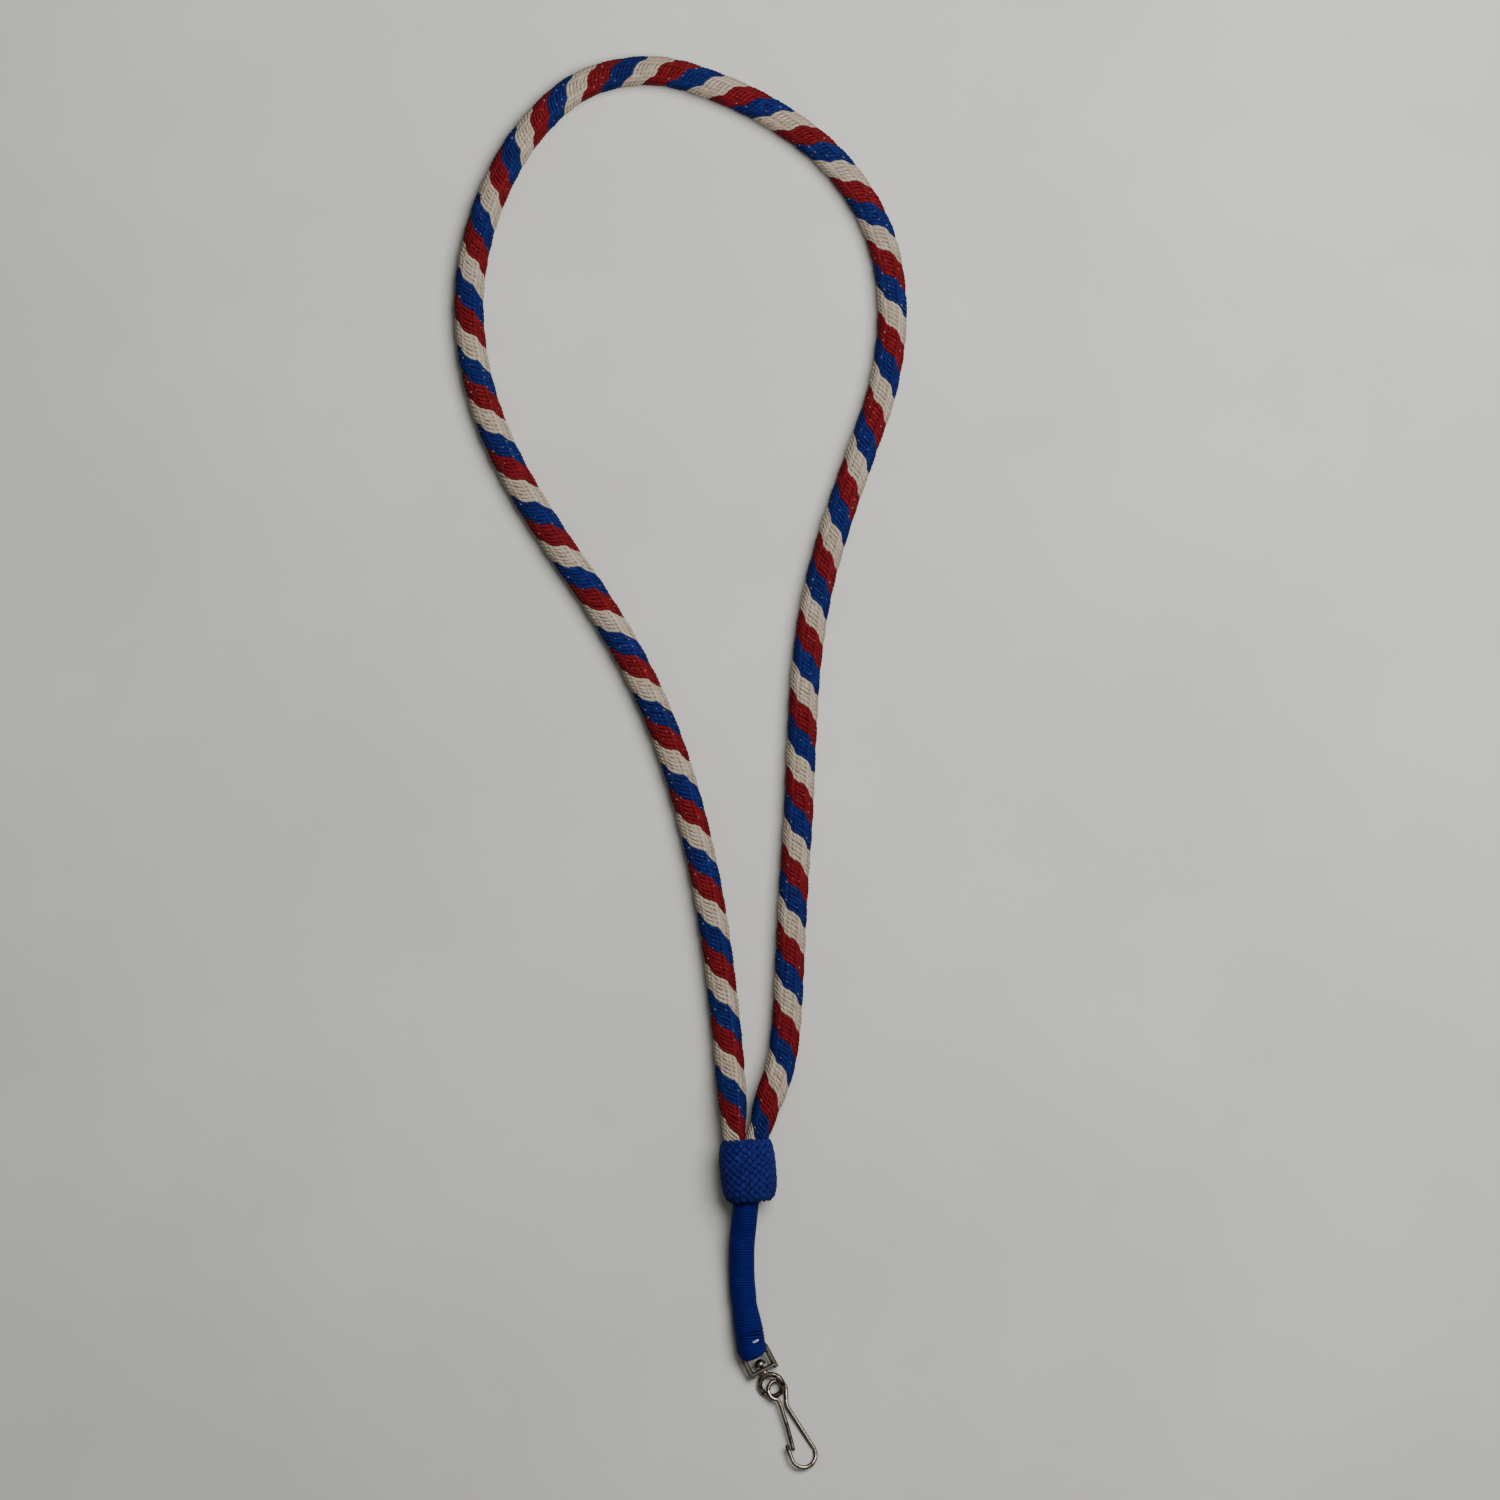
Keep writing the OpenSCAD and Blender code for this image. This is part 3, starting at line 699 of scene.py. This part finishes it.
BAIL_X, BAIL_LEN, BAIL_R = 4.0, 7.1, 0.9      # legs' middle from the axis, bar to foot, half the wire
CORNER, LEG_END = 0.9, 1.1                    # the bends' radius, and how far the legs pass the foot
FOOT_T, FOOT_D = 0.5, 1.2                     # half the foot's thickness along the axis and across it
legs = [[-BAIL_X, -y, 0] for y in np.linspace(BAIL_LEN + LEG_END, CORNER + 0.4, 20)]
for side, first in ((-1, 180), (1, 90)):
    for a in np.radians(np.linspace(first, first - 90, 9)):
        legs.append([side * (BAIL_X - CORNER) + CORNER * math.cos(a), CORNER * (math.sin(a) - 1), 0])
legs = np.array(legs + [[BAIL_X, -y, 0] for y in np.linspace(CORNER + 0.4, BAIL_LEN + LEG_END, 20)])
ahead = unit(np.gradient(legs, axis=0))
bail = Build()
bail.sweep(in_bail(legs), np.cross(ahead, Z) @ bail_frame.T, np.broadcast_to(bail_frame @ Z, legs.shape),
           BAIL_R, BAIL_R, sides=28, power=2.3, tone=0.3)
foot = np.array([[x, -BAIL_LEN, 0] for x in np.linspace(-BAIL_X, BAIL_X, 24)])
bail.sweep(in_bail(foot), np.broadcast_to(bail_frame @ Y, foot.shape),
           np.broadcast_to(bail_frame @ Z, foot.shape), FOOT_T, FOOT_D, sides=28, power=3.5, tone=0.15)
bail.make("bail_frame", nickel, "bail", "nickel", ["bail"])

# The rivet's head inside the bail, its neck with a collar under the foot, and the ring. Profiles are rows of
# distance along the axis and radius.
HEAD_Y, NECK_Y, NECK_R, HEAD_R, HEAD_H = -5.2, -5.5, 0.75, 1.8, 1.6
dome = [[HEAD_H * math.sin(a), HEAD_R * math.cos(a)] for a in np.linspace(0, math.pi / 2 * 0.985, 10)]
head_profile = [[-0.9, NECK_R], [-0.35, NECK_R], [-0.3, 1.6], [-0.2, 1.76], *dome]
neck_profile = [[-3.2, 0.7], [-3.15, 0.95], [-3.05, 1.12], [-2.6, 1.2], [-2.3, 1.2], [-2.2, 1.05],
                [-2.15, NECK_R], [-0.2, NECK_R]]
eye = Build()
for y, profile, tone in ((HEAD_Y, head_profile, 0.75), (NECK_Y, neck_profile, 0.0)):
    eye.lathe(in_bail([0, y, 0]), bail_frame @ Y, bail_frame @ X, profile, sides=40, tone=tone)
EYE_R, EYE_WIRE_R = 3.6, 0.8
ring_frame = bail_frame @ turned("y", EYE_ROLL)
a = np.arange(96) / 96 * 2 * math.pi
outward = (np.cos(a)[:, None] * X + np.sin(a)[:, None] * Y) @ ring_frame.T
eye.sweep(in_bail([0, -EYE_REACH, 0]) + EYE_R * outward, outward, np.broadcast_to(ring_frame @ Z, outward.shape),
          EYE_WIRE_R, EYE_WIRE_R, sides=20, closed=True, power=2.2, tone=0.45)
eye.make("swivel_ring", eye_nickel, "swivel", "nickel", ["swivel_eye"])


# ---------------------------------------------------------------- hook

COIL_AT = np.array([2.75, -26.8, 1.6])
HOOK_TURN, HOOK_PITCH, HOOK_ROLL = 21, -1, 16.5
hook_frame = turned("z", HOOK_TURN) @ turned("x", HOOK_PITCH) @ turned("y", HOOK_ROLL)
COIL_R, COIL_START, COIL_END, COIL_RISE = 2.95, -20, 255, 0.8
COIL_SPLIT, SPLIT_GAP, GATE_BEND = 31, 3.5, 248     # where the gate's wire takes over, and leaves the coil
BOW_R, WIRE_R, HOOK_LEN = 3.95, 0.65, 26.2
BOW_AT = (0.55, BOW_R + WIRE_R - HOOK_LEN)
TIP_ROUND = 0.6     # the length over which a wire's cut end is rounded


def arc(c, r, a0, a1, steps, z0=0.0, z1=0.0):
    """Points round a centre from one angle to another, which rise from z0 to z1."""
    a = np.radians(np.linspace(a0, a1, steps + 1))
    return np.stack([c[0] + r * np.cos(a), c[1] + r * np.sin(a), np.linspace(z0, z1, steps + 1)], -1)


def coil_z(a):
    return COIL_RISE * (a - COIL_START) / (COIL_END - COIL_START)


def wire_piece(points, name, material, node, body, tip):
    """A wire through points of the hook's own frame, with its first or last end rounded."""
    line = Route(smooth_line(points, 3))
    run = np.linspace(0, line.length, int(line.length / 0.3))
    centre, _, side, up = line.at(run)
    to_world = lambda v: v @ hook_frame.T
    from_tip = run if tip == "start" else line.length - run
    r = WIRE_R * np.sqrt(np.clip(1 - (1 - np.clip(from_tip / TIP_ROUND, 0, 1)) ** 2, 0.02, 1))
    build = Build()
    build.sweep(COIL_AT + to_world(centre), to_world(side), to_world(up), r, r, sides=20, tone=0.3)
    build.make(name, material, body, "spring_wire", [node])


bow_left = BOW_AT[0] - BOW_R
bow = np.vstack([
    [[bow_left, BOW_AT[1] + 4.8, 0], [bow_left, BOW_AT[1] + 2.4, 0]],
    arc(BOW_AT, BOW_R, 180, 374.5, 16),
    [[2.7, -12.6, 0], [1.55, -7.2, 0], [1.35, -5.2, 0], [1.95, -3.2, 0]],
    arc((0, 0), COIL_R, COIL_START, COIL_SPLIT, 7, 0, coil_z(COIL_SPLIT))])
gate_start = COIL_SPLIT + SPLIT_GAP
gate = np.vstack([
    arc((0, 0), COIL_R, gate_start, GATE_BEND, 16, coil_z(gate_start), coil_z(GATE_BEND)),
    [[-0.82, -4, 0.78], [-0.85, -5.6, 0.74], [-1.25, -12.5, 0.37], [-1.95, -19.5, 0]]])
wire_piece(bow, "hook_bow_wire", spring_wire, "hook_wire", "hook", tip="start")
wire_piece(gate, "hook_gate_wire", gate_wire, "gate_arm", "gate", tip="end")
